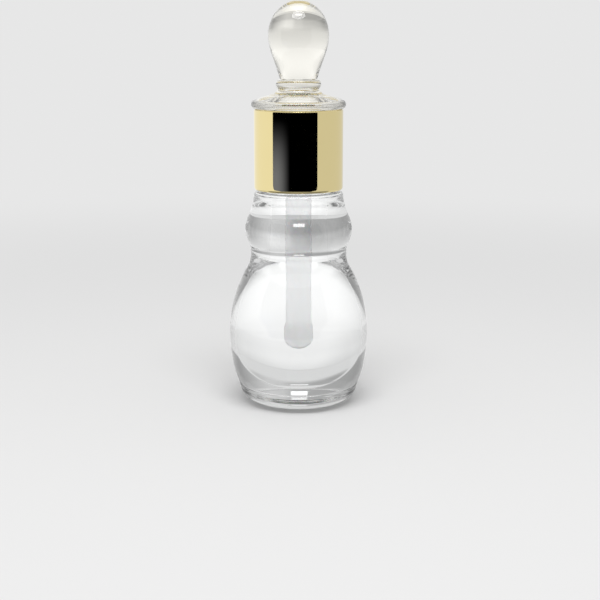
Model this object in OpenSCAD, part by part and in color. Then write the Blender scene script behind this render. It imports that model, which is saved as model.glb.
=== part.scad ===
// Small perfume bottle of clear moulded glass with a dip rod applicator.
// The glass body stands on a heel, narrows to a waist and swells again into a ring below the neck.
// A gold sleeve with a clear knob hides the threaded closure, which carries the rod.
// Millimetres, Z up, origin at the middle of the base on the surface that it stands on.

/* [Glass body] */
// Height of the glass body from the table to the top of its shoulder
body_h = 50.9; // [46:0.1:62]
// Width of the ring of the base that touches the table
contact_d = 16.4; // [15:0.1:20]
// How far the heel's top edge stands out from the lower end of the belly's curve
heel_step = 0.15; // [0.05:0.01:0.3]
// How far the heel's lower corner stands in from its top edge
heel_taper = 0.4; // [0.1:0.1:1]
// Height of the heel
heel_h = 4.1; // [3.8:0.1:5]
// Height of the heel's lower rounding
heel_round_h = 3.5; // [2.4:0.1:3.7]
// Width of the belly at its widest place
belly_d = 33.3; // [31:0.1:36]
// Height of the widest place, as a share of the body's height
belly_share = 0.318; // [0.28:0.002:0.36]
// Width of the waist above the belly
waist_d = 22.9; // [21:0.1:24]
// Height of the waist, as a share of the body's height
waist_share = 0.707; // [0.66:0.001:0.72]
// Width of the ring above the waist
ring_d = 25.4; // [24.4:0.1:28]
// Height of the ring's widest place, as a share of the body's height
ring_share = 0.825; // [0.82:0.001:0.85]
// Width of the shoulder under the sleeve
shoulder_d = 21.2; // [20.4:0.1:22]
// Radius of the shoulder's top edge
shoulder_edge_r = 0.8; // [0.4:0.1:1.1]

/* [Inside of the glass] */
// Thickness of the glass at the belly
belly_wall = 6.5; // [5.5:0.1:7.5]
// Thickness of the glass above the table in the middle of the base
floor_t = 5.7; // [4.8:0.1:6.6]
// Bore of the neck
bore_d = 9; // [8.8:0.1:9.6]
// Width of the dished middle of the base
punt_d = 13; // [9:0.5:14]
// Depth of the dished middle of the base
punt_h = 0.7; // [0.3:0.1:1.2]

/* [Neck] */
// Width of the neck without its thread
neck_d = 15.6; // [14.5:0.1:16.5]
// Height of the neck above the shoulder
neck_h = 14.4; // [13:0.1:17]
// How far the bead round the foot of the neck stands out from the neck
neck_bead_out = 0.7; // [0.4:0.05:0.9]
// Height of the bead
neck_bead_h = 1.2; // [0.8:0.1:1.6]
// Rounding of the neck's rim
neck_rim_r = 0.7; // [0.3:0.1:1]

/* [Wiper plug] */
// Width of the plug's flange, which lies on the rim
plug_flange_d = 13; // [12:0.1:14]
// Thickness of the flange
plug_flange_t = 0.8; // [0.6:0.1:1.2]
// Depth of the plug below the rim
plug_depth = 8; // [7.5:0.1:9.5]
// Wall of the plug's tube
plug_wall = 0.8; // [0.6:0.1:0.9]
// Height of the sealing beads round the tube
plug_bead_h = 1; // [0.6:0.1:1.4]
// Height of the funnel over the wiping hole
funnel_h = 2.4; // [1.5:0.1:3]
// Thickness of the wiping lip
lip_t = 0.9; // [0.6:0.1:1.2]
// Gap between the tube and the bore
plug_tube_gap = 0.15; // [0.1:0.01:0.2]
// Gap between the sealing beads and the bore
plug_seat_gap = 0.03; // [0.02:0.01:0.05]
// Gap round the rod's tip in the wiping hole
wipe_gap = 0.2; // [0.15:0.01:0.3]

/* [Liner] */
// Thickness of the sealing liner
liner_t = 1.2; // [0.8:0.1:2]
// Gap round the liner, to the closure and to the rod's socket
liner_gap = 0.2; // [0.15:0.01:0.3]

/* [Closure] */
// Room for the thread between the neck and the closure's bore
thread_room = 1.1; // [1:0.05:1.3]
// Wall of the closure's skirt
closure_wall = 1.15; // [0.9:0.05:1.4]
// Height of the closure's skirt under the roof
skirt_gap = 0.7; // [0.4:0.1:1]
// Thickness of the closure's roof
roof_t = 2.6; // [2.3:0.1:3.2]
// Skin of the roof under its cored ring
roof_skin = 1; // [0.8:0.1:1.2]
// Wall round the cored ring and round the spigot's seat
core_wall = 1; // [0.8:0.1:1.3]
// Number of ribs across the cored ring
core_ribs = 8; // [6:1:12]
// Thickness of each rib
core_rib_t = 0.7; // [0.5:0.1:0.9]
// Chamfer at the mouth of the closure
mouth_chamfer = 0.5; // [0.2:0.1:0.6]
// Wall of the socket that holds the rod
socket_wall = 1; // [0.8:0.1:1.1]
// Length of the socket below the roof
socket_l = 5; // [4:0.1:5.5]
// Skin between the rod's seat and the knob's seat
seat_skin = 0.6; // [0.4:0.1:0.8]

/* [Gold sleeve] */
// Thickness of the sleeve's metal
sleeve_t = 0.4; // [0.3:0.05:0.5]
// Gap between the shoulder and the sleeve
sleeve_lift = 0.6; // [0.4:0.1:1]
// Radius of the sleeve's top edge
sleeve_edge_r = 0.8; // [0.6:0.1:1.2]
// How far the hem is drawn in
hem_in = 0.1; // [0.05:0.01:0.15]
// Height of the hem
hem_h = 1; // [0.6:0.1:1.6]
// Gap of glue between the closure and the sleeve
glue_gap = 0.05; // [0.03:0.01:0.08]

/* [Knob] */
// How far the disc stands out over the sleeve
disc_out = 0.65; // [0.4:0.05:1.5]
// Thickness of the disc's rounded edge
disc_edge_t = 2.1; // [1.8:0.1:2.4]
// Width of the base of the disc's slope
slope_d = 10.4; // [10:0.1:11]
// Height of the disc's slope
slope_h = 2.3; // [2:0.1:2.8]
// Width of the groove under the bead
groove_d = 10; // [9.6:0.1:10.2]
// Width of the bead
bead_d = 10.6; // [10.4:0.1:11]
// Height of the bead
bead_h = 2.6; // [2.2:0.1:3]
// Width of the knob's neck
knob_neck_d = 8.8; // [8.4:0.1:9.4]
// Width of the ball
ball_d = 14.2; // [13:0.1:17]
// Height from the neck to the widest place of the ball
ball_rise = 10; // [9:0.1:12]
// Height from there to the top
ball_top_h = 7.7; // [6.5:0.1:9]
// Width of the small flat on the top
flat_d = 3; // [2:0.1:4]
// Width of the spigot under the disc
spigot_d = 8; // [7:0.1:9]
// Length of the spigot
spigot_l = 1.7; // [1.4:0.1:1.9]

/* [Rod] */
// Width of the rod
rod_d = 4.1; // [3.8:0.05:4.3]
// Width of the rod's thicker tip
tip_d = 4.6; // [4.4:0.05:5]
// Height of the thicker tip
tip_h = 4.2; // [3.5:0.1:6]
// Length of the taper between rod and tip
tip_taper = 1.4; // [1:0.1:2.4]
// Height of the rod's end above the glass inside
tip_clear = 8.1; // [5:0.1:12]
// Gap between the rod and its socket
rod_gap = 0.02; // [0.01:0.01:0.05]

/* [Hidden] */

// Steps along each curved stretch of an outline
curve_steps = 12;
// Overrun of a cut past the face that it opens
cut = 0.5;
// Points of an outline closer than this are one point
same_point = 0.001;
// Round pieces
$fn = 96;

// Heights of the glass, from the table up
belly_z = body_h * belly_share;
waist_z = body_h * waist_share;
ring_z = body_h * ring_share;
shoulder_z = body_h;
rim_z = shoulder_z + neck_h;
belly_rise = belly_z - heel_h;
waist_rise = waist_z - belly_z;
ring_rise = ring_z - waist_z;

// The belly is an egg: its upper and lower half-heights and where the upper curve leaves it,
// as shares of the rises, and the slope with which the outline reaches the shoulder
egg_up_share = 1.24;
egg_down_share = 1.9;
egg_leave_share = 0.82;
waist_flat_share = 0.15;
ring_hold_share = 0.45;
ring_curve_r = 7;
neck_in_slope = -0.12;

// The hollow is a smaller egg under the bore, with a short straight side below its widest place
// and a rounding down to a small flat floor
hollow_r = belly_d / 2 - belly_wall;
hollow_up_share = 0.904;
hollow_leave_share = 0.76;
hollow_side_share = 0.15;
hollow_floor_share = 0.125;
bore_r = bore_d / 2;

// Plug, liner and closure are stacked on the rim
plug_top_z = rim_z + plug_flange_t;
roof_z = plug_top_z + liner_t;
closure_top_z = roof_z + roof_t;
neck_r = neck_d / 2;
closure_bore_r = neck_r + thread_room;
closure_r = closure_bore_r + closure_wall;
sleeve_r = closure_r + glue_gap + sleeve_t;
sleeve_edge_in_r = sleeve_edge_r - sleeve_t;
disc_r = sleeve_r + disc_out;
skirt_z = shoulder_z + skirt_gap;
rod_r = rod_d / 2;
tip_r = tip_d / 2;
seat_r = rod_r + rod_gap;
socket_r = seat_r + socket_wall;
spigot_r = spigot_d / 2;
sleeve_z = shoulder_z + sleeve_lift;
sleeve_top_z = closure_top_z + sleeve_t;
spigot_z = sleeve_top_z - spigot_l;
seat_top_z = spigot_z - glue_gap - seat_skin;

// Heights of the knob
groove_z = sleeve_top_z + disc_edge_t + slope_h;
bead_z = groove_z + bead_h / 2;
knob_neck_z = groove_z + bead_h;
ball_z = knob_neck_z + ball_rise;
knob_top_z = ball_z + ball_top_h;
ball_slope = 0.25;

// Where the disc's slope leaves its rounded edge and where it meets the groove, as shares of the
// slope's width and height, and the slopes of the outline there
slope_out_share = 0.86;
slope_low_share = 0.2;
slope_high_share = 0.85;
slope_out_slope = -4.6;
slope_in_slope = -0.8;
edge_end_a = 80;
bead_end_a = 60;

// Sealing beads of the plug, as shares of its depth
plug_bead_shares = [0.3, 0.65];

// Lowest point of the rod
rod_z = floor_t + tip_clear;

// Points of an ellipse about [x, z] with half-axes a and b, from angle a0 to a1
function ellipse_arc(x, z, a, b, a0, a1) = [
    for (i = [0:curve_steps]) let (t = a0 + (a1 - a0) * i / curve_steps)
        [x + a * cos(t), z + b * sin(t)]];

// Points of a smooth curve from p to q, as radius over height, with slopes sp and sq at its ends
function sweep_curve(p, q, sp, sq) = [
    for (i = [0:curve_steps]) let (t = i / curve_steps, h = q[1] - p[1])
        [(2 * t ^ 3 - 3 * t ^ 2 + 1) * p[0] + (t ^ 3 - 2 * t ^ 2 + t) * h * sp
         + (3 * t ^ 2 - 2 * t ^ 3) * q[0] + (t ^ 3 - t ^ 2) * h * sq,
         p[1] + h * t]];

// Leaves out points that lie on the one before them
function distinct(pts) = [
    for (i = [0:len(pts) - 1])
        if (i == 0 || norm(pts[i] - pts[max(i - 1, 0)]) > same_point) pts[i]];

// Height share at which an ellipse of half-axes a and b has the radius r
function at_radius(r, a) = sqrt(1 - (r / a) ^ 2);

// Outer outline of the glass, from the table to the top of the shoulder
function glass_outline() =
    let (belly_r = belly_d / 2, up = waist_rise * egg_up_share, down = belly_rise * egg_down_share,
         leave = waist_rise * egg_leave_share, u = leave / up,
         egg_r = belly_r * sqrt(1 - u ^ 2), egg_slope = -belly_r * u / (up * sqrt(1 - u ^ 2)),
         heel_a = asin(1 / egg_down_share), heel_top_r = belly_r * cos(heel_a) + heel_step,
         heel_r = heel_top_r - heel_taper, contact_r = contact_d / 2,
         ring_r = ring_d / 2, hold = ring_curve_r * ring_hold_share,
         ring_in = ring_curve_r - sqrt(ring_curve_r ^ 2 - hold ^ 2),
         ring_slope = hold / sqrt(ring_curve_r ^ 2 - hold ^ 2),
         hold_a = asin(ring_hold_share),
         waist_low = waist_z + ring_rise * waist_flat_share,
         edge_z = shoulder_z - shoulder_edge_r)
    distinct(concat(
        ellipse_arc(contact_r, heel_round_h, heel_r - contact_r, heel_round_h, -90, 0),
        [[heel_top_r, heel_h - heel_step]],
        ellipse_arc(0, belly_z, belly_r, down, -heel_a, 0),
        ellipse_arc(0, belly_z, belly_r, up, 0, asin(u)),
        sweep_curve([egg_r, belly_z + leave], [waist_d / 2, waist_z], egg_slope, 0),
        sweep_curve([waist_d / 2, waist_low], [ring_r - ring_in, ring_z - hold], 0, ring_slope),
        ellipse_arc(ring_r - ring_curve_r, ring_z, ring_curve_r, ring_curve_r, -hold_a, hold_a),
        sweep_curve([ring_r - ring_in, ring_z + hold], [shoulder_d / 2, edge_z],
                    -ring_slope, neck_in_slope),
        ellipse_arc(shoulder_d / 2 - shoulder_edge_r, edge_z, shoulder_edge_r, shoulder_edge_r,
                    0, 90)));

// Outline of the neck above the shoulder, with the bead round its foot and its rounded rim
function neck_outline() =
    let (bead_low = shoulder_z + neck_bead_h)
    concat(
        [[neck_r, shoulder_z], [neck_r, bead_low]],
        ellipse_arc(neck_r, bead_low + neck_bead_h / 2, neck_bead_out, neck_bead_h / 2, -90, 90),
        ellipse_arc(neck_r - neck_rim_r, rim_z - neck_rim_r, neck_rim_r, neck_rim_r, 0, 90));

// Outline of the hollow, from the rim down to the middle of its floor
function hollow_outline() =
    let (up = waist_rise * hollow_up_share, down = belly_z - floor_t,
         low_z = belly_z - down * hollow_side_share, floor_r = hollow_r * hollow_floor_share,
         egg_r = hollow_r * at_radius(hollow_leave_share, 1),
         egg_z = belly_z + up * hollow_leave_share,
         egg_slope = -hollow_r * hollow_leave_share / (up * at_radius(hollow_leave_share, 1)),
         bend = sweep_curve([egg_r, egg_z], [bore_r, waist_z], egg_slope, 0))
    distinct(concat(
        [[bore_r, rim_z]],
        [for (i = [curve_steps:-1:0]) bend[i]],
        ellipse_arc(0, belly_z, hollow_r, up, asin(hollow_leave_share), 0),
        ellipse_arc(floor_r, low_z, hollow_r - floor_r, low_z - floor_t, 0, -90),
        [[0, floor_t]]));

// Moulded bottle: the wall between the two outlines, open at the rim and dished under the base
module glass_bottle() {
    dish_r = (punt_d ^ 2 / 4 + punt_h ^ 2) / (2 * punt_h);
    color("azure", 0.5)
    rotate_extrude()
    polygon(distinct(concat(
        ellipse_arc(0, punt_h - dish_r, dish_r, dish_r, 90, acos(punt_d / 2 / dish_r)),
        glass_outline(), neck_outline(), hollow_outline())));
}

// Soft plug pressed into the bore, with a funnel and a lip that wipes the rod
module wiper_plug() {
    tube_r = bore_r - plug_tube_gap;
    seal_r = bore_r - plug_seat_gap;
    inner_r = tube_r - plug_wall;
    low_z = rim_z - plug_depth;
    hole_r = tip_r + wipe_gap;
    funnel_z = low_z + lip_t;
    color("white")
    rotate_extrude()
    polygon(concat(
        [[hole_r, low_z], [tube_r - plug_wall, low_z], [tube_r, low_z + plug_wall]],
        [for (share = plug_bead_shares) let (z = low_z + plug_depth * share)
            each [[tube_r, z], [seal_r, z + plug_bead_h / 3], [seal_r, z + plug_bead_h * 2 / 3],
                  [tube_r, z + plug_bead_h]]],
        [[tube_r, rim_z], [plug_flange_d / 2, rim_z], [plug_flange_d / 2, plug_top_z],
         [inner_r, plug_top_z], [inner_r, funnel_z + funnel_h], [hole_r, funnel_z]]));
}

// Foam ring between the plug and the closure's roof
module sealing_liner()
    color("whitesmoke")
    translate([0, 0, plug_top_z])
    difference() {
        cylinder(h = liner_t, r = closure_bore_r - liner_gap);
        translate([0, 0, -cut]) cylinder(h = liner_t + 2 * cut, r = socket_r + liner_gap);
    }

// Threaded closure with the rod's socket below its roof and the knob's seat above it
module inner_cap() {
    core_in = spigot_r + glue_gap + core_wall;
    core_out = closure_r - core_wall;
    seat_z = spigot_z - glue_gap;
    closure_edge_z = closure_top_z - sleeve_edge_in_r;
    color("ivory")
    difference() {
        union() {
            difference() {
                union() {
                    translate([0, 0, skirt_z])
                        cylinder(h = closure_edge_z - skirt_z, r = closure_r);
                    translate([0, 0, closure_edge_z])
                        cylinder(h = sleeve_edge_in_r, r1 = closure_r,
                                 r2 = closure_r - sleeve_edge_in_r);
                }
                translate([0, 0, skirt_z - cut])
                    cylinder(h = roof_z - skirt_z + cut, r = closure_bore_r);
                translate([0, 0, skirt_z])
                    cylinder(h = mouth_chamfer, r1 = closure_bore_r + mouth_chamfer,
                             r2 = closure_bore_r);
                translate([0, 0, roof_z + roof_skin]) core_ring(core_in, core_out);
            }
            translate([0, 0, roof_z - socket_l]) cylinder(h = socket_l + roof_skin, r = socket_r);
        }
        translate([0, 0, roof_z - socket_l - cut])
            cylinder(h = seat_top_z - roof_z + socket_l + cut, r = seat_r);
        translate([0, 0, seat_z]) cylinder(h = closure_top_z - seat_z + cut, r = spigot_r + glue_gap);
    }
}

// Space that is cored out of the roof, crossed by the ribs
module core_ring(inner_r, outer_r)
    difference() {
        cylinder(h = roof_t, r = outer_r);
        translate([0, 0, -cut]) cylinder(h = roof_t + 2 * cut, r = inner_r);
        for (i = [0:core_ribs - 1]) rotate(i * 360 / core_ribs)
            translate([0, -core_rib_t / 2, -cut])
            cube([outer_r + cut, core_rib_t, roof_t + 2 * cut]);
    }

// Drawn metal sleeve over the closure, with a hole in its top for the knob's spigot
module gold_collar() {
    inner_r = sleeve_r - sleeve_t;
    hole_r = spigot_r + glue_gap;
    hem_z = sleeve_z + hem_h;
    color("gold")
    rotate_extrude()
    polygon(concat(
        [[inner_r, sleeve_z], [sleeve_r - hem_in, sleeve_z],
         [sleeve_r - hem_in, hem_z - hem_in], [sleeve_r, hem_z]],
        ellipse_arc(sleeve_r - sleeve_edge_r, sleeve_top_z - sleeve_edge_r, sleeve_edge_r,
                    sleeve_edge_r, 0, 90),
        [[hole_r, sleeve_top_z], [hole_r, closure_top_z]],
        [for (i = [curve_steps:-1:0])
            ellipse_arc(inner_r - sleeve_edge_in_r, closure_top_z - sleeve_edge_in_r,
                        sleeve_edge_in_r, sleeve_edge_in_r, 0, 90)[i]]));
}

// Rod of milky plastic, pressed into the closure's socket, with a thicker rounded tip
module applicator_rod()
    color("gainsboro", 0.7)
    rotate_extrude()
    polygon(distinct(concat(
        ellipse_arc(0, rod_z + tip_r, tip_r, tip_r, -90, 0),
        [[tip_r, rod_z + tip_h], [rod_r, rod_z + tip_h + tip_taper],
         [rod_r, seat_top_z], [0, seat_top_z]])));

// Clear knob: spigot, disc, bead and ball in one piece
module knob_top() {
    edge_r = disc_edge_t / 2;
    edge_x = disc_r - edge_r;
    slope_z = sleeve_top_z + disc_edge_t;
    top_a = acos(flat_d / ball_d);
    color("aliceblue", 0.6)
    rotate_extrude()
    polygon(distinct(concat(
        [[0, spigot_z], [spigot_r, spigot_z], [spigot_r, sleeve_top_z]],
        ellipse_arc(edge_x, sleeve_top_z + edge_r, edge_r, edge_r, -90, edge_end_a),
        sweep_curve([slope_d / 2 + (edge_x - slope_d / 2) * slope_out_share,
                     slope_z + slope_h * slope_low_share],
                    [slope_d / 2, slope_z + slope_h * slope_high_share],
                    slope_out_slope, slope_in_slope),
        [[groove_d / 2, groove_z]],
        ellipse_arc(bead_d / 2 - bead_h / 2, bead_z, bead_h / 2, bead_h / 2,
                    -bead_end_a, bead_end_a),
        sweep_curve([knob_neck_d / 2, knob_neck_z], [ball_d / 2, ball_z], ball_slope, 0),
        ellipse_arc(0, ball_z, ball_d / 2, ball_top_h / sin(top_a), 0, top_a),
        [[0, knob_top_z]])));
}

glass_bottle();
wiper_plug();
sealing_liner();
inner_cap();
gold_collar();
applicator_rod();
knob_top();
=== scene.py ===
from math import acos, asin, cos, degrees, pi, radians, sin, sqrt

import bmesh
import bpy
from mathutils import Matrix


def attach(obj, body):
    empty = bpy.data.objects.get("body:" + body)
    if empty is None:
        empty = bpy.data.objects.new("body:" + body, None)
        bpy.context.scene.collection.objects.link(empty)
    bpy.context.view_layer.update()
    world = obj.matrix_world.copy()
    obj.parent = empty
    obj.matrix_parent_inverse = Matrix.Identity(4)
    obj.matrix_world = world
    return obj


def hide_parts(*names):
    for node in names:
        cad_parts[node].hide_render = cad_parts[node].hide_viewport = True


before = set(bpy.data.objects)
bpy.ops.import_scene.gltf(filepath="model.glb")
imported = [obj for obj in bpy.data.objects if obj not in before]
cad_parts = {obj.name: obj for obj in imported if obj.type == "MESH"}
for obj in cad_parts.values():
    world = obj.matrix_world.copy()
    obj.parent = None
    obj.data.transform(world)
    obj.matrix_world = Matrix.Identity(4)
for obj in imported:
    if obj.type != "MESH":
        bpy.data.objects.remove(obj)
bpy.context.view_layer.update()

# Glass bottle
# Thick clear glass, blown and pressed in a two-part mould and fire polished, with two turns of
# thread on its neck. Its wall of several millimetres bends most of what is seen through it.
mm = 0.001
body_h = 50.9
contact_r = 8.2
heel_h = 4.6
heel_round_h = 3.5
heel_step = 0.05
heel_taper = 0.4
heel_skip_turn = 0.3
belly_r = 16.65
belly_z = body_h * 0.318
belly_foot_z = 4.1
belly_depth_share = 1.9
belly_height_share = 1.24
belly_end_share = 0.82
waist_r = 11.45
waist_z = body_h * 0.707
waist_flat_share = 0.15
ring_r = 12.7
ring_z = body_h * 0.825
ring_curve_r = 7
ring_end_share = 0.45
shoulder_r = 10.6
shoulder_edge_r = 0.8
shoulder_lean = -0.12
neck_r = 7.8
neck_foot_r = 0.3
neck_bead_out = 0.7
neck_bead_h = 1.2
neck_wall_z = body_h + neck_bead_h * 2
neck_rim_r = 0.7
rim_z = body_h + 14.4
bore_r = 4.5
bore_rim_r = 0.4
hollow_r = 10.15
hollow_height_share = 0.904
hollow_end_share = 0.76
hollow_side_share = 0.15
hollow_floor_r = hollow_r * 0.125
floor_z = 5.7
punt_r = 6.5
punt_h = 0.7
thread_pitch = 3.2
thread_turns = 2.25
thread_out = 0.95
thread_half_w = 0.95
thread_flank_w = 0.6
thread_run_out = 0.18
thread_start_z = body_h + 3.4
near = 0.01


def arc(x, z, across, up, start, end, steps):
    """Points of an ellipse's arc about (x, z), from start to end in degrees."""
    turns = [radians(start + (end - start) * i / steps) for i in range(steps + 1)]
    return [(x + across * cos(a), z + up * sin(a)) for a in turns]


def sweep(p, q, lean_p, lean_q, steps):
    """Points of a smooth wall from p to q, with its lean at both ends as radius over height."""
    h = q[1] - p[1]
    points = []
    for i in range(steps + 1):
        t = i / steps
        points.append(((2 * t**3 - 3 * t**2 + 1) * p[0] + (t**3 - 2 * t**2 + t) * h * lean_p
                       + (3 * t**2 - 2 * t**3) * q[0] + (t**3 - t**2) * h * lean_q, p[1] + h * t))
    return points


def wall(p, q, steps):
    """Points of a straight wall from p to q, both ends included."""
    return [(p[0] + (q[0] - p[0]) * i / steps, p[1] + (q[1] - p[1]) * i / steps)
            for i in range(steps + 1)]


def leave_ellipse(r, up, share):
    """Radius and lean of an ellipse's wall where it has risen by a share of its height."""
    narrowed = sqrt(1 - share**2)
    return r * narrowed, -r * share / (up * narrowed)


def turn(name, outline, columns=160, swell=None):
    """A piece turned about the bottle's axis from its outline in millimetres, outside upwards.
    swell(angle, height, radius) moves a point of the wall in or out, as a thread does."""
    least_step = 0.002
    sharp_from = 32
    points = [outline[0]]
    for p in outline[1:]:
        if abs(p[0] - points[-1][0]) + abs(p[1] - points[-1][1]) > least_step:
            points.append(p)
    form = bmesh.new()
    rows = []
    for r, z in points:
        if r < least_step:
            rows.append([form.verts.new((0, 0, z * mm))])
            continue
        row = []
        for c in range(columns):
            a = 2 * pi * c / columns
            swollen = r + (swell(a, z, r) if swell else 0)
            row.append(form.verts.new((swollen * cos(a) * mm, swollen * sin(a) * mm, z * mm)))
        rows.append(row)
    closed = len(rows[0]) > 1 and len(rows[-1]) > 1
    for low, high in list(zip(rows, rows[1:])) + ([(rows[-1], rows[0])] if closed else []):
        for c in range(columns):
            d = (c + 1) % columns
            if len(low) == 1:
                form.faces.new((low[0], high[d], high[c]))
            elif len(high) == 1:
                form.faces.new((low[c], low[d], high[0]))
            else:
                form.faces.new((low[c], low[d], high[d], high[c]))
    bmesh.ops.recalc_face_normals(form, faces=form.faces)
    mesh = bpy.data.meshes.new(name)
    form.to_mesh(mesh)
    form.free()
    for face in mesh.polygons:
        face.use_smooth = True
    mesh.set_sharp_from_angle(angle=radians(sharp_from))
    piece = bpy.data.objects.new(name, mesh)
    bpy.context.scene.collection.objects.link(piece)
    return piece


def ridge(angle, z, start_z, turns, out):
    """Height of a thread's ridge at an angle and height: a rounded trapezoid that winds up
    to the right and runs out softly at both ends."""
    best = 0.0
    for k in range(-1, int(turns) + 2):
        wound = angle / (2 * pi) + k
        if not 0 <= wound <= turns:
            continue
        off = abs(z - (start_z + thread_pitch * wound))
        flank = max(0.0, min(1.0, (thread_half_w - off) / thread_flank_w))
        run_out = min(1.0, wound / thread_run_out, (turns - wound) / thread_run_out)
        best = max(best, out * flank * flank * (3 - 2 * flank) * run_out)
    return best


waist_rise = waist_z - belly_z
belly_drop = (belly_z - belly_foot_z) * belly_depth_share
belly_up = waist_rise * belly_height_share
belly_end = belly_end_share / belly_height_share
belly_end_r, belly_end_lean = leave_ellipse(belly_r, belly_up, belly_end)
heel_turn = degrees(asin((belly_z - heel_h) / belly_drop))
heel_top_r = belly_r * cos(radians(heel_turn)) + heel_step
heel_r = heel_top_r - heel_taper
heel_edge = [(heel_top_r + out, heel_h + up)
             for out, up in ((-0.02, -0.18), (0, -0.1), (-0.03, -0.05), (-0.1, 0))]
ring_half_h = ring_curve_r * ring_end_share
ring_reach = sqrt(ring_curve_r**2 - ring_half_h**2)
ring_end_r = ring_r - ring_curve_r + ring_reach
ring_lean = ring_half_h / ring_reach
ring_turn = degrees(asin(ring_end_share))
edge_z = body_h - shoulder_edge_r
dish_r = (punt_r**2 + punt_h**2) / (2 * punt_h)
outside = (
    arc(0, punt_h - dish_r, dish_r, dish_r, 90, degrees(acos(punt_r / dish_r)), 12)
    + arc(contact_r, heel_round_h, heel_r - contact_r, heel_round_h, -90, 0, 28)
    + wall((heel_r, heel_round_h), heel_edge[0], 3) + heel_edge[1:]
    + arc(0, belly_z, belly_r, belly_drop, heel_skip_turn - heel_turn, 0, 36)
    + arc(0, belly_z, belly_r, belly_up, 0, degrees(asin(belly_end)), 36)
    + sweep((belly_end_r, belly_z + waist_rise * belly_end_share), (waist_r, waist_z),
            belly_end_lean, 0, 16)
    + sweep((waist_r, waist_z + (ring_z - waist_z) * waist_flat_share),
            (ring_end_r, ring_z - ring_half_h), 0, ring_lean, 16)
    + arc(ring_r - ring_curve_r, ring_z, ring_curve_r, ring_curve_r, -ring_turn, ring_turn, 24)
    + sweep((ring_end_r, ring_z + ring_half_h), (shoulder_r, edge_z), -ring_lean, shoulder_lean, 24)
    + arc(shoulder_r - shoulder_edge_r, edge_z, shoulder_edge_r, shoulder_edge_r, 0, 90, 12))
neck = (
    arc(neck_r + neck_foot_r, body_h + neck_foot_r, neck_foot_r, neck_foot_r, -90, -180, 6)
    + wall((neck_r, body_h + neck_foot_r), (neck_r, body_h + neck_bead_h), 3)
    + arc(neck_r, body_h + neck_bead_h * 1.5, neck_bead_out, neck_bead_h / 2, -90, 90, 16)
    + wall((neck_r, neck_wall_z), (neck_r, rim_z - neck_rim_r), 84)
    + arc(neck_r - neck_rim_r, rim_z - neck_rim_r, neck_rim_r, neck_rim_r, 0, 90, 12))
hollow_up = waist_rise * hollow_height_share
hollow_end_r, hollow_end_lean = leave_ellipse(hollow_r, hollow_up, hollow_end_share)
side_z = belly_z - (belly_z - floor_z) * hollow_side_share
inside = (
    arc(bore_r + bore_rim_r, rim_z - bore_rim_r, bore_rim_r, bore_rim_r, 90, 180, 8)
    + wall((bore_r, rim_z - bore_rim_r), (bore_r, waist_z), 24)
    + sweep((hollow_end_r, belly_z + hollow_up * hollow_end_share), (bore_r, waist_z),
            hollow_end_lean, 0, 24)[::-1]
    + arc(0, belly_z, hollow_r, hollow_up, degrees(asin(hollow_end_share)), 0, 40)
    + arc(hollow_floor_r, side_z, hollow_r - hollow_floor_r, side_z - floor_z, 0, -90, 40)
    + [(0, floor_z)])


def neck_thread(angle, z, r):
    """The ridge stands only on the neck's straight outer wall, above its bead."""
    if abs(r - neck_r) > near or z < neck_wall_z or z > rim_z - neck_rim_r:
        return 0.0
    return ridge(angle, z, thread_start_z, thread_turns, thread_out)


bottle = turn("bottle_glass", [(0, punt_h)] + outside + neck + inside, columns=192,
              swell=neck_thread)


def feed(tree, sockets, values):
    """Sets sockets by name or number to a number, a grey or a colour, or links them to a node."""
    for name, value in values.items():
        socket = sockets[name]
        if isinstance(value, bpy.types.NodeSocket):
            tree.links.new(value, socket)
        elif socket.type == "RGBA":
            colour = value if isinstance(value, tuple) else (value, value, value)
            socket.default_value = (*colour, 1)
        else:
            socket.default_value = value


def add(tree, kind, values=None, **settings):
    """A new node of a kind with these settings, and with these values for its inputs."""
    node = tree.nodes.new(kind)
    for name, value in settings.items():
        setattr(node, name, value)
    feed(tree, node.inputs, values or {})
    return node


def skin_group():
    """Node group for every moulded or drawn skin: slow waves, fine grain and faint hand marks."""
    group = bpy.data.node_groups.new("moulded_skin", "ShaderNodeTree")
    for socket, usual in (("Wave Scale", 90.0), ("Grain Scale", 2500.0), ("Grain Share", 0.1),
                          ("Clean Roughness", 0.0), ("Handled Roughness", 0.03)):
        entry = group.interface.new_socket(socket, in_out="INPUT", socket_type="NodeSocketFloat")
        entry.default_value = usual
    for socket in ("Height", "Roughness", "Cloud"):
        group.interface.new_socket(socket, in_out="OUTPUT", socket_type="NodeSocketFloat")
    given = add(group, "NodeGroupInput").outputs
    place = add(group, "ShaderNodeTexCoord").outputs["Object"]
    waves, grain, marks = (
        add(group, "ShaderNodeTexNoise", {"Vector": place, **values}).outputs["Fac"] for values in (
            {"Scale": given["Wave Scale"], "Detail": 1.0},
            {"Scale": given["Grain Scale"], "Detail": 2.0},
            {"Scale": 160.0, "Detail": 5.0, "Distortion": 0.6}))
    height = add(group, "ShaderNodeMix", {"Factor": given["Grain Share"], "A": waves, "B": grain})
    rough = add(group, "ShaderNodeMapRange", {
        "Value": marks, "From Min": 0.52, "From Max": 0.68, "To Min": given["Clean Roughness"],
        "To Max": given["Handled Roughness"]}, interpolation_type="SMOOTHSTEP")
    add(group, "NodeGroupOutput", {"Height": height.outputs["Result"],
                                   "Roughness": rough.outputs["Result"], "Cloud": marks})
    return group


moulded_skin = skin_group()


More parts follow.
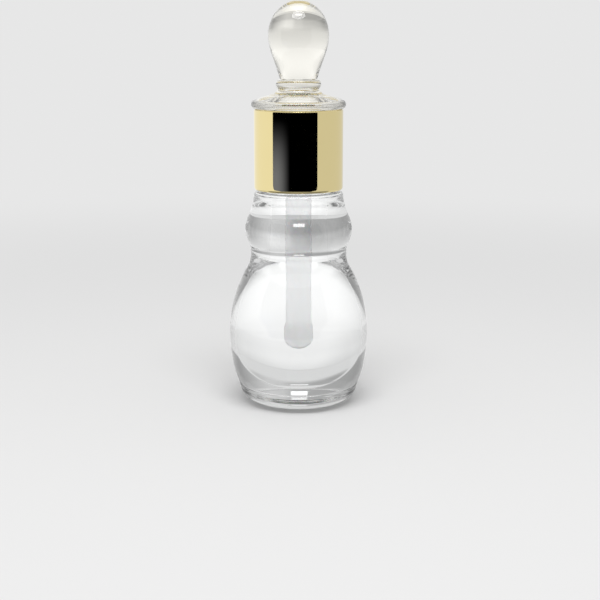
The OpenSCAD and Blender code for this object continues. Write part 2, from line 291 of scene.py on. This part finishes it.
def finish(name, sockets, tones, wave_mm, grain_mm, grain_share, depth_mm, clean, handled):
    """A material with its shader's own values and the moulded skin: a bump of a real depth,
    roughness between its clean and its handled value, and a colour that drifts between tones."""
    material = bpy.data.materials.new(name)
    material.use_nodes = True
    tree = material.node_tree
    skin = add(tree, "ShaderNodeGroup", {
        "Wave Scale": 1000 / wave_mm, "Grain Scale": 1000 / grain_mm, "Grain Share": grain_share,
        "Clean Roughness": clean, "Handled Roughness": handled}, node_tree=moulded_skin).outputs
    bump = add(tree, "ShaderNodeBump", {"Strength": 1.0, "Distance": depth_mm * mm,
                                        "Height": skin["Height"]})
    drift = add(tree, "ShaderNodeMix", {"Factor": skin["Cloud"], "A": tones[0], "B": tones[1]},
                data_type="RGBA")
    feed(tree, tree.nodes["Principled BSDF"].inputs, {
        **sockets, "Normal": bump.outputs["Normal"], "Base Color": drift.outputs["Result"],
        "Roughness": skin["Roughness"] if handled > clean else clean})
    return material


glass_ior = 1.51
bottle.data.materials.append(finish(
    "clear_moulded_glass", {"IOR": glass_ior, "Transmission Weight": 1.0},
    ((0.992, 0.996, 0.994), (0.980, 0.990, 0.986)),
    wave_mm=9, grain_mm=0.8, grain_share=0.02, depth_mm=0.012, clean=0.0, handled=0.012))
# Below the perfume's level the inner wall is wet, so light only bends there by the small step
# from glass to oil. These faces of the same wall get a second material for that.
perfume_z = 56.0
perfume_ior = 1.50
bottle.data.materials.append(finish(
    "wetted_glass", {"IOR": glass_ior / perfume_ior, "Transmission Weight": 1.0},
    ((0.998, 0.998, 0.998), (0.992, 0.994, 0.995)),
    wave_mm=7, grain_mm=0.8, grain_share=0.02, depth_mm=0.02, clean=0.0, handled=0.01))
for face in bottle.data.polygons:
    across = sqrt(face.center.x**2 + face.center.y**2) / mm
    up = face.center.z / mm
    faces_axis = face.normal.x * face.center.x + face.normal.y * face.center.y < 0
    on_floor = up < floor_z + 0.5 and face.normal.z > 0.5
    if floor_z - near < up < perfume_z and across < hollow_r + near and (faces_axis or on_floor):
        face.material_index = 1
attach(bottle, "bottle")
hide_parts("glass_bottle")

# Perfume
# The bottle is filled up to just under the wiper plug with a clear perfume oil, which bends light
# almost as the glass does and so hides the inner wall. It climbs a little at the wall of the bore.
climb = ((4.0, 0.04), (4.3, 0.16), (bore_r - near, 0.4))
perfume = turn("perfume_surface", [(0, perfume_z)] + wall((0.4, perfume_z), (3.6, perfume_z), 6)
               + [(r, perfume_z + up) for r, up in climb], columns=96)
if perfume.data.polygons[0].normal.z < 0:
    perfume.data.flip_normals()
perfume.data.materials.append(finish(
    "clear_perfume", {"IOR": perfume_ior, "Transmission Weight": 1.0},
    ((1.0, 1.0, 1.0), (0.995, 0.995, 0.99)),
    wave_mm=6, grain_mm=0.8, grain_share=0.0, depth_mm=0.004, clean=0.0, handled=0.0))
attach(perfume, "bottle")

# Wiper plug
# Soft natural plastic, moulded and pushed into the bore until its flange lies on the rim.
# Two beads seal it, and the lip at its lower end wipes the rod as it is drawn out.
tip_r = 2.3
plug_reach = 8
plug_low_z = rim_z - plug_reach
flange_t = 0.8
flange_r = 6.5
flange_edge_r = 0.3
flange_x = flange_r - flange_edge_r
plug_top_z = rim_z + flange_t
plug_lead = 0.8
tube_r = bore_r - 0.15
tube_in_r = tube_r - 0.8
seal_r = bore_r - 0.03
seal_half_h = 0.5
wipe_r = tip_r + 0.2
wipe_edge_r = 0.2
wipe_h = 0.9
funnel_h = 3.3
plug = turn("plug_moulding", (
    arc(wipe_r + wipe_edge_r, plug_low_z + wipe_edge_r, wipe_edge_r, wipe_edge_r, -180, -90, 6)
    + [(tube_in_r, plug_low_z), (tube_r, plug_low_z + plug_lead)]
    + [p for share in (0.3, 0.65)
       for p in arc(tube_r, plug_low_z + plug_reach * share + seal_half_h, seal_r - tube_r,
                    seal_half_h, -90, 90, 8)]
    + [(tube_r, rim_z - 0.02)]
    + arc(flange_x, rim_z + flange_edge_r, flange_edge_r, flange_edge_r, -90, 0, 6)
    + arc(flange_x, plug_top_z - flange_edge_r, flange_edge_r, flange_edge_r, 0, 90, 6)
    + arc(tube_in_r + flange_edge_r, plug_top_z - flange_edge_r, flange_edge_r, flange_edge_r,
          90, 180, 6)
    + [(tube_in_r, plug_low_z + funnel_h), (wipe_r, plug_low_z + wipe_h)]), columns=96)
plug.data.materials.append(finish(
    "soft_natural_plastic", {"IOR": 1.51, "Subsurface Weight": 0.5, "Subsurface Scale": 0.002},
    ((0.86, 0.87, 0.87), (0.80, 0.815, 0.82)),
    wave_mm=2.5, grain_mm=0.12, grain_share=0.4, depth_mm=0.006, clean=0.34, handled=0.5))
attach(plug, "bottle")
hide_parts("wiper_plug")

# Sealing liner
# Ring of fine closed foam, stamped from sheet and pushed under the closure's roof. Its cells
# show as small pits, and the rim of the plug leaves its skin slightly glossy.
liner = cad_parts["sealing_liner"]
liner.data.materials.clear()
liner.data.materials.append(finish(
    "closed_foam", {"IOR": 1.45, "Subsurface Weight": 0.3, "Subsurface Scale": 0.001},
    ((0.88, 0.88, 0.86), (0.80, 0.80, 0.78)),
    wave_mm=1.4, grain_mm=0.16, grain_share=0.75, depth_mm=0.05, clean=0.62, handled=0.78))

# Threaded closure
# Closure of natural white plastic, moulded with a cored and ribbed roof, the rod's socket
# below it and the knob's seat above it. Its thread runs between the turns of the neck's thread.
closure_bore_r = neck_r + 1.1
closure_turns = 2.6
closure_thread_out = 0.9
liner_t = 1.2
roof_z = plug_top_z + liner_t
thread_low_z = body_h + 1.25
thread_high_z = roof_z - 0.4
thread_back_r = closure_bore_r + 0.06
thread_face_r = closure_bore_r - 0.005
closure_plastic = finish(
    "closure_plastic", {"IOR": 1.49, "Subsurface Weight": 0.25, "Subsurface Scale": 0.001},
    ((0.86, 0.86, 0.83), (0.80, 0.80, 0.77)),
    wave_mm=4, grain_mm=0.14, grain_share=0.35, depth_mm=0.008, clean=0.3, handled=0.45)
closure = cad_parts["inner_cap"]
closure.data.materials.clear()
closure.data.materials.append(closure_plastic)


def closure_thread(angle, z, r):
    """The closure's ridge points inwards and lies half a pitch under the neck's."""
    if r > closure_bore_r:
        return 0.0
    return -ridge(angle, z, thread_start_z - thread_pitch / 2, closure_turns, closure_thread_out)


inner_thread = turn("closure_thread",
                    [(thread_back_r, thread_low_z), (thread_back_r, thread_high_z)]
                    + wall((thread_face_r, thread_high_z), (thread_face_r, thread_low_z), 90),
                    swell=closure_thread)
inner_thread.data.materials.append(closure_plastic)
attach(inner_thread, "cap")

# Gold sleeve
# Sleeve drawn from thin aluminium, polished and anodised pale gold, and glued over the closure.
# Its lower edge is rolled in, and the polish still shows faint waves.
closure_top_z = roof_z + 2.6
sleeve_z = body_h + 0.6
sleeve_r = 10.5
sleeve_t = 0.4
sleeve_in_r = sleeve_r - sleeve_t
sleeve_top_z = closure_top_z + sleeve_t
sleeve_edge_r = 0.4
sleeve_hole_r = 4.05
hem_in = 0.25
hem_h = 0.7
hem_lip = 0.06
sleeve = turn("sleeve_drawn", (
    [(sleeve_in_r, sleeve_z + hem_lip), (sleeve_in_r + 0.04, sleeve_z)]
    + arc(sleeve_r - hem_in, sleeve_z + hem_h, hem_in, hem_h, -90, 0, 16)
    + wall((sleeve_r, sleeve_z + hem_h), (sleeve_r, sleeve_top_z - sleeve_edge_r), 60)
    + arc(sleeve_r - sleeve_edge_r, sleeve_top_z - sleeve_edge_r, sleeve_edge_r, sleeve_edge_r,
          0, 90, 16)
    + [(sleeve_hole_r, sleeve_top_z), (sleeve_hole_r, closure_top_z)]
    + arc(sleeve_in_r - sleeve_edge_r, closure_top_z - sleeve_edge_r, sleeve_edge_r, sleeve_edge_r,
          90, 0, 8)), columns=256)
sleeve.data.materials.append(finish(
    "pale_gold", {"Metallic": 1.0}, ((0.84, 0.72, 0.376), (0.82, 0.70, 0.36)),
    wave_mm=8, grain_mm=0.5, grain_share=0.01, depth_mm=0.010, clean=0.02, handled=0.06))
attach(sleeve, "cap")
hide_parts("gold_collar")

# Applicator rod
# Rod of milky see-through plastic with a thicker rounded tip, pressed into the closure's socket.
# It hangs into the perfume and carries a drop out when the cap is lifted.
rod_r = 2.05
rod_z = 13.8
rod_top_z = 67.95
rod_ior = 1.53
tip_top_z = rod_z + 4.2
shaft_z = rod_z + 5.6
thick_z = rod_z + 5
rod = turn("dip_rod", arc(0, rod_z + tip_r, tip_r, tip_r, -90, 0, 20)
           + sweep((tip_r, tip_top_z), (rod_r, shaft_z), 0, 0, 10)
           + wall((rod_r, shaft_z), (rod_r, rod_top_z), 40) + [(0, rod_top_z)], columns=96)
rod.data.materials.append(finish(
    "milky_plastic", {"IOR": rod_ior, "Subsurface Weight": 0.6, "Subsurface Scale": 0.003,
                      "Transmission Weight": 0.4}, ((0.93, 0.935, 0.94), (0.88, 0.885, 0.89)),
    wave_mm=5, grain_mm=0.3, grain_share=0.1, depth_mm=0.006, clean=0.4, handled=0.5))
# In the oil the milky plastic hardly bends the light that passes it; the thick tip dims it more
for name, clearness, low, high in (("wetted_milky_plastic", 0.90, thick_z, perfume_z),
                                   ("wetted_thick_tip", 0.80, 0, thick_z)):
    rod.data.materials.append(finish(
        name, {"IOR": rod_ior / perfume_ior, "Subsurface Weight": 0.6, "Subsurface Scale": 0.003,
               "Transmission Weight": clearness}, ((0.95, 0.955, 0.96), (0.92, 0.925, 0.93)),
        wave_mm=5, grain_mm=0.3, grain_share=0.1, depth_mm=0.006, clean=0.3, handled=0.4))
    for face in rod.data.polygons:
        if low < face.center.z / mm < high:
            face.material_index = len(rod.data.materials) - 1
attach(rod, "cap")
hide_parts("applicator_rod")

# Knob
# Knob of clear acrylic, moulded in one piece: spigot, disc, bead and ball. The spigot is glued
# through the sleeve into the closure, and a hair of air stays between the disc and the sleeve.
spigot_r = 4
spigot_z = 68.62
spigot_edge = 0.1
knob_z = sleeve_top_z + 0.02
disc_r = 11.15
disc_edge_r = 1.05
disc_x = disc_r - disc_edge_r
slope_z = sleeve_top_z + 2.1
slope_h = 2.3
slope_in_r = 5.2
slope_out_r = slope_in_r + (disc_x - slope_in_r) * 0.86
slope_out_z = slope_z + slope_h * 0.2
slope_in_z = slope_z + slope_h * 0.85
slope_out_lean, slope_in_lean = -4.6, -0.8
groove_r = 5
groove_z = slope_z + slope_h
bead_r = 5.3
bead_edge_r = 1.3
bead_x = bead_r - bead_edge_r
knob_neck_r = 4.4
knob_neck_z = groove_z + bead_edge_r * 2
knob_neck_lean = 0.25
ball_r = 7.1
ball_up = 7.7
ball_z = knob_neck_z + 10
crown_r = 1.5
crown_turn = degrees(acos(crown_r / ball_r))
knob = turn("clear_knob", [(0, spigot_z), (spigot_r - spigot_edge, spigot_z),
                           (spigot_r, spigot_z + spigot_edge), (spigot_r, knob_z)]
            + arc(disc_x, knob_z + disc_edge_r, disc_edge_r, disc_edge_r, -90, 80, 24)
            + sweep((slope_out_r, slope_out_z), (slope_in_r, slope_in_z), slope_out_lean,
                    slope_in_lean, 24)
            + [(groove_r, groove_z)]
            + arc(bead_x, groove_z + bead_edge_r, bead_edge_r, bead_edge_r, -60, 60, 16)
            + sweep((knob_neck_r, knob_neck_z), (ball_r, ball_z), knob_neck_lean, 0, 36)
            + arc(0, ball_z, ball_r, ball_up / sin(radians(crown_turn)), 0, crown_turn, 36)
            + [(0, ball_z + ball_up)], columns=192)
knob.data.materials.append(finish(
    "clear_acrylic", {"IOR": 1.49, "Transmission Weight": 1.0},
    ((1.0, 0.985, 0.925), (0.99, 0.975, 0.91)),
    wave_mm=8, grain_mm=0.8, grain_share=0.02, depth_mm=0.008, clean=0.0, handled=0.012))
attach(knob, "cap")
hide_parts("knob_top")

# Table and surround
# Plain pale floor under a soft lamp. The glass and the gold also show what stands round them, and
# all of it is painted light: a white table top with painted shade and a painted reflection, a ring
# of grey paper at its edge, and a dark card in front.
pale = 0.80
floor_r = 3
floor_sides = 96
paper_r = 0.155
paper_h = 0.15


def stage_mesh(name, points, faces):
    """A mesh of the surround from its points and faces."""
    mesh = bpy.data.meshes.new(name)
    mesh.from_pydata(points, [], faces)
    thing = bpy.data.objects.new(name, mesh)
    bpy.context.scene.collection.objects.link(thing)
    return thing


def band(from_turn, to_turn, r, low, high, columns):
    """A curved sheet about the axis. Its low edge is a function of how far along it is."""
    points, faces = [], []
    for c in range(columns + 1):
        a = radians(from_turn + (to_turn - from_turn) * c / columns)
        for z in (low(c / columns), high):
            points.append((r * sin(a), -r * cos(a), z))
    for c in range(columns):
        faces.append((2 * c, 2 * c + 2, 2 * c + 3, 2 * c + 1))
    return points, faces


def bare_tree(name):
    """A material's empty node tree, with an output for its surface."""
    material = bpy.data.materials.new(name)
    material.use_nodes = True
    material.cycles.emission_sampling = "NONE"
    tree = material.node_tree
    tree.nodes.clear()
    return material, tree, add(tree, "ShaderNodeOutputMaterial").inputs["Surface"]


def places(tree, kind="Object"):
    """The X, Y and Z of the place that is shaded."""
    place = add(tree, "ShaderNodeTexCoord").outputs[kind]
    return add(tree, "ShaderNodeSeparateXYZ", {"Vector": place}).outputs[:]


def ramp(tree, value, stops):
    """Greys along a value, as a colour ramp with these places and greys."""
    node = add(tree, "ShaderNodeValToRGB", {"Fac": value})
    ends = node.color_ramp.elements
    while len(ends) < len(stops):
        ends.new(0.5)
    for end, (place, grey) in zip(ends, stops):
        end.position = place
        end.color = (grey, grey, grey, 1)
    return node.outputs["Color"]


def soft_step(tree, value, start, end):
    """Rises softly from 0 to 1 while the value goes from start to end."""
    return add(tree, "ShaderNodeMapRange", {"Value": value, "From Min": start, "From Max": end},
               interpolation_type="SMOOTHSTEP").outputs["Result"]


def maths(tree, operation, *values):
    """A math node's result from links or numbers."""
    return add(tree, "ShaderNodeMath", dict(enumerate(values)), operation=operation).outputs[0]


def glow(tree, colour, strength=1.0):
    """Plain light of a grey, a colour or a link."""
    return add(tree, "ShaderNodeEmission", {"Color": colour, "Strength": strength}).outputs[0]


def mix(tree, share, first, second):
    """Mixes two shaders by a share."""
    return add(tree, "ShaderNodeMixShader", {0: share, 1: first, 2: second}).outputs[0]


def bounced(tree, seen):
    """Whether a ray has left a mirror or passed through glass."""
    return maths(tree, "MAXIMUM", seen["Is Glossy Ray"], seen["Is Transmission Ray"])


floor = stage_mesh("floor", [(floor_r * cos(2 * pi * i / floor_sides),
                              floor_r * sin(2 * pi * i / floor_sides), 0)
                             for i in range(floor_sides)], [tuple(range(floor_sides))])
floor_paint, tree, surface = bare_tree("floor_paint")
x, y, _ = places(tree)
away = maths(tree, "SQRT", maths(tree, "ADD", maths(tree, "MULTIPLY", x, x),
                                 maths(tree, "MULTIPLY", y, y)))
seen = add(tree, "ShaderNodeLightPath").outputs
# Far from the bottle the floor runs into the background without an edge
paint = add(tree, "ShaderNodeBsdfDiffuse", {"Color": pale})
fade_from, fade_to = 0.05, 0.40
fade = soft_step(tree, away, fade_from, fade_to)
plain = mix(tree, maths(tree, "MULTIPLY", fade, seen["Is Camera Ray"]), paint.outputs[0],
            glow(tree, pale))
# The table top that the glass and the gold show is painted light: a painted shadow right under the
# bottle with painted light under its base, white around it, painted shade to the sides and in
# front, and a painted grey reflection, so that it greys at a low angle
table_w = 0.2
table_white = 1.10
painted_reflection_grey = 0.62
table_edge_r = 0.148
table_edge_grey = 0.66
# Painted shadow under the bottle, with painted light under the middle of its base
under = ramp(tree, maths(tree, "DIVIDE", away, table_w / 2),
             [(0.0, 1.0), (0.08, 1.0), (0.09, 0.24), (0.10, 0.24), (0.13, 0.40), (0.19, 0.42),
              (0.32, 0.62), (0.43, 1.0), (0.57, 1.0), (0.64, 0.93), (0.78, 0.95),
              (0.92, 1.06), (1.0, 1.08)])
sides = ramp(tree, maths(tree, "MULTIPLY_ADD", x, 1 / table_w, 0.5),
             [(0.1, 0.68), (0.32, 0.82), (0.43, 1.0), (0.57, 1.0), (0.67, 0.88), (0.85, 0.74)])
front = ramp(tree, maths(tree, "MULTIPLY_ADD", y, 1 / table_w, 0.5),
             [(0.35, 0.30), (0.455, 0.45), (0.49, 1.0)])
shade = maths(tree, "MULTIPLY", under, maths(tree, "MULTIPLY", sides, front))
# Painted reflection: the table top turns to a painted grey at a low angle
painted_reflection_share = add(tree, "ShaderNodeFresnel", {"IOR": 1.3}).outputs[0]
table_top = mix(tree, painted_reflection_share, glow(tree, shade, table_white), glow(tree, painted_reflection_grey))
table_top = mix(tree, maths(tree, "GREATER_THAN", away, table_edge_r), table_top,
                glow(tree, table_edge_grey))
tree.links.new(mix(tree, bounced(tree, seen), plain, table_top), surface)
floor.data.materials.append(floor_paint)

paper = stage_mesh("standing_paper", *band(0, 360, paper_r, lambda t: 0.0, paper_h, 96))
paper_painted_light, tree, surface = bare_tree("paper_painted_light")
x, y, z = places(tree)
seen = add(tree, "ShaderNodeLightPath").outputs
# Painted light that rises from grey low down to white at the top of the paper
by_height = ramp(tree, maths(tree, "DIVIDE", z, paper_h),
                 [(0.0, 0.47), (0.09, 0.46), (0.25, 0.46), (0.31, 0.60), (0.42, 0.69), (0.50, 0.71),
                  (0.58, 0.74), (0.67, 0.79), (0.76, 0.86), (0.84, 0.93), (0.94, 1.0)])
# Its light is painted. Through the glass it is brightest behind the bottle, low down a little to
# the right, and dark in front of it; the gold shows it with painted light from the left
way_round = maths(tree, "ADD", maths(tree, "DIVIDE", maths(tree, "ARCTAN2", x, y), 2 * pi), 0.5)
behind_low = ramp(tree, way_round,
                  [(0.0, 0.26), (0.19, 0.30), (0.25, 0.55), (0.34, 0.60), (0.38, 0.64),
                   (0.41, 0.78), (0.44, 0.82), (0.48, 0.85), (0.49, 0.95), (0.51, 1.00),
                   (0.522, 1.25), (0.545, 1.32), (0.57, 1.10), (0.605, 0.80), (0.63, 0.60),
                   (0.72, 0.58), (0.75, 0.55), (0.81, 0.30)])
behind_high = ramp(tree, way_round,
                   [(0.0, 0.34), (0.19, 0.38), (0.26, 0.85), (0.33, 1.0), (0.67, 1.0),
                    (0.74, 0.85), (0.81, 0.38)])
rise = soft_step(tree, z, 0.055, 0.085)
behind = maths(tree, "ADD", behind_low, maths(tree, "MULTIPLY", rise, maths(
    tree, "SUBTRACT", behind_high, behind_low)))
# Painted light from the left, as the gold shows the paper
painted_light_from_left = ramp(tree, maths(tree, "MULTIPLY_ADD", x, 3.2, 0.5), [(0.35, 1.0), (0.60, 0.75)])
through = maths(tree, "GREATER_THAN", seen["Transmission Depth"], 0.5)
standing = mix(tree, through, glow(tree, painted_light_from_left),
               glow(tree, maths(tree, "MULTIPLY", by_height, behind)))
# Along its foot the paper gets painted light from the table, and one small bright place on it is
# painted light that stands in for the light that the real bottle gathers behind it
for grey, strength, bounds in (
        (0.72, 1.0, ((z, 0.010, 0.007),)),
        (1.0, 1.40, ((z, 0.0180, 0.0190), (z, 0.0265, 0.0250),
                     (way_round, 0.4850, 0.4880), (way_round, 0.5130, 0.5090)))):
    share = through
    for value, start, end in bounds:
        share = maths(tree, "MULTIPLY", share, soft_step(tree, value, start, end))
    standing = mix(tree, share, standing, glow(tree, grey, strength))
tree.links.new(standing, surface)
paper.data.materials.append(paper_painted_light)

card_from, card_to = -67, 48
card_r = paper_r - 0.004
card_low = 0.004
card_high = 0.14
card_corner_h = 0.032
left_corner, right_corner = 0.18, 0.14
# Painted sheen: strength and colour of the faint grey light on the card's left
painted_sheen_strength = 0.28
painted_sheen_colour = (0.69, 0.80, 1.50)


def card_edge(t):
    """Low edge of the dark card, with its two corners rounded."""
    corner = max(0.0, 1 - min(t / left_corner, (1 - t) / right_corner))
    return card_low + card_corner_h * sqrt(corner)


# Only mirror rays see the card, so it paints a dark reflection into the gold. It is black, with a
# faint painted grey light on its left that the gold shows as a painted sheen
card = stage_mesh("black_card", *band(card_from, card_to, card_r, card_edge, card_high, 128))
black_card_painted_sheen, tree, surface = bare_tree("black_card_painted_sheen")
x, _, z = places(tree)
lit = maths(tree, "MULTIPLY", soft_step(tree, x, -0.052, -0.130), soft_step(tree, z, 0.060, 0.038))
tree.links.new(glow(tree, painted_sheen_colour, maths(tree, "MULTIPLY", lit, painted_sheen_strength)), surface)
card.data.materials.append(black_card_painted_sheen)
for sheet, seen_through in ((paper, True), (card, False)):
    sheet.visible_camera = False
    sheet.visible_diffuse = False
    sheet.visible_shadow = False
    sheet.visible_volume_scatter = False
    sheet.visible_transmission = seen_through

# Light and camera
# Soft light from all round and one wide soft lamp above the front. The camera stands where the
# photograph's stood, 280 mm in front of the bottle's axis and almost as high as the knob.
room_grey = 0.58
lamp_away = 0.6
lamp_up = 65
lamp_aim_z = 0.08
camera_down = 10.68
scene = bpy.context.scene
world = bpy.data.worlds.new("studio")
scene.world = world
world.use_nodes = True
tree = world.node_tree
tree.nodes.clear()


def backdrop(colour):
    """One background of the world, of a grey or a link."""
    return add(tree, "ShaderNodeBackground", {"Color": colour}).outputs[0]


seen = add(tree, "ShaderNodeLightPath").outputs
overhead = backdrop(ramp(tree, places(tree, "Generated")[2],
                         [(0.34, 1.0), (0.5, 0.90), (0.64, 0.75)]))
lit = mix(tree, seen["Is Camera Ray"], backdrop(room_grey), backdrop(pale))
add(tree, "ShaderNodeOutputWorld", {"Surface": mix(tree, bounced(tree, seen), lit, overhead)})

lamp_data = bpy.data.lights.new("soft_lamp", "AREA")
lamp_data.shape = "ELLIPSE"
lamp_data.size = 0.48
lamp_data.size_y = 0.34
lamp_data.energy = 2.4
lamp = bpy.data.objects.new("soft_lamp", lamp_data)
lamp.location = (0, -lamp_away * cos(radians(lamp_up)),
                 lamp_aim_z + lamp_away * sin(radians(lamp_up)))
lamp.rotation_euler = (radians(90 - lamp_up), 0, 0)
lamp.visible_transmission = False
scene.collection.objects.link(lamp)

camera_data = bpy.data.cameras.new("camera")
camera_data.lens = 71.2
camera_data.sensor_width = 36
camera_data.shift_y = -0.06
camera_data.clip_start = 0.01
camera = bpy.data.objects.new("camera", camera_data)
camera.location = (0.00035, -0.280, 0.0861)
camera.rotation_euler = (radians(90 - camera_down), 0, 0)
scene.collection.objects.link(camera)
scene.camera = camera

scene.view_settings.view_transform = "Standard"
scene.cycles.max_bounces = 32
scene.cycles.transmission_bounces = 24
scene.cycles.glossy_bounces = 12
